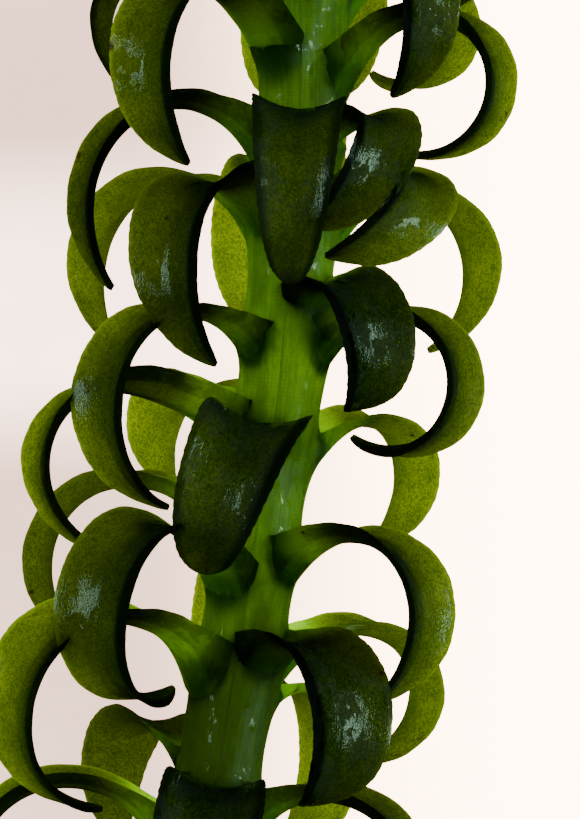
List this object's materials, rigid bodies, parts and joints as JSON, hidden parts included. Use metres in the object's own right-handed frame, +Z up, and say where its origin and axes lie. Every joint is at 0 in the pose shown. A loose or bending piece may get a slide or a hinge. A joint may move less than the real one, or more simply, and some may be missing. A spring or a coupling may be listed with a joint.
{
  "type": "waterweed sprig",
  "caption": "Sprig of curly waterweed lying flat: a green stem set all round with strap leaves that arch outward and curl back, for an aquarium or pond scene.",
  "frame": {"origin": "middle of the bounding box on the surface that the sprig lies on", "axes": "+Y along the stem towards the growing end, +Z up from the surface, +X to the right as the picture shows it from above"},
  "size_m": [0.0184, 0.0528, 0.0139],
  "materials": {
    "stem_green": "satin, wet",
    "leaf_green": "satin, wet"
  },
  "bodies": {
    "root": {"stem": "stem_green", "bud": "leaf_green", "leaf_01": "leaf_green", "leaf_02": "leaf_green", "leaf_03": "leaf_green", "leaf_04": "leaf_green", "leaf_05": "leaf_green", "leaf_06": "leaf_green", "leaf_07": "leaf_green", "leaf_08": "leaf_green", "leaf_09": "leaf_green", "leaf_10": "leaf_green", "leaf_11": "leaf_green", "leaf_12": "leaf_green", "leaf_13": "leaf_green", "leaf_14": "leaf_green", "leaf_15": "leaf_green", "leaf_16": "leaf_green", "leaf_17": "leaf_green", "leaf_18": "leaf_green", "leaf_19": "leaf_green", "leaf_20": "leaf_green", "leaf_21": "leaf_green", "leaf_22": "leaf_green", "leaf_23": "leaf_green", "leaf_24": "leaf_green", "leaf_25": "leaf_green", "leaf_26": "leaf_green", "leaf_27": "leaf_green", "leaf_28": "leaf_green", "leaf_29": "leaf_green", "leaf_30": "leaf_green", "leaf_31": "leaf_green", "leaf_32": "leaf_green", "leaf_33": "leaf_green", "leaf_34": "leaf_green", "leaf_35": "leaf_green", "leaf_36": "leaf_green", "leaf_37": "leaf_green", "leaf_38": "leaf_green", "leaf_39": "leaf_green", "leaf_40": "leaf_green", "leaf_41": "leaf_green", "leaf_42": "leaf_green", "leaf_43": "leaf_green", "leaf_44": "leaf_green", "leaf_45": "leaf_green", "leaf_46": "leaf_green", "leaf_47": "leaf_green", "leaf_48": "leaf_green", "leaf_49": "leaf_green", "leaf_50": "leaf_green", "leaf_51": "leaf_green", "leaf_52": "leaf_green", "leaf_53": "leaf_green", "leaf_54": "leaf_green", "leaf_55": "leaf_green"}
  },
  "joints": []
}
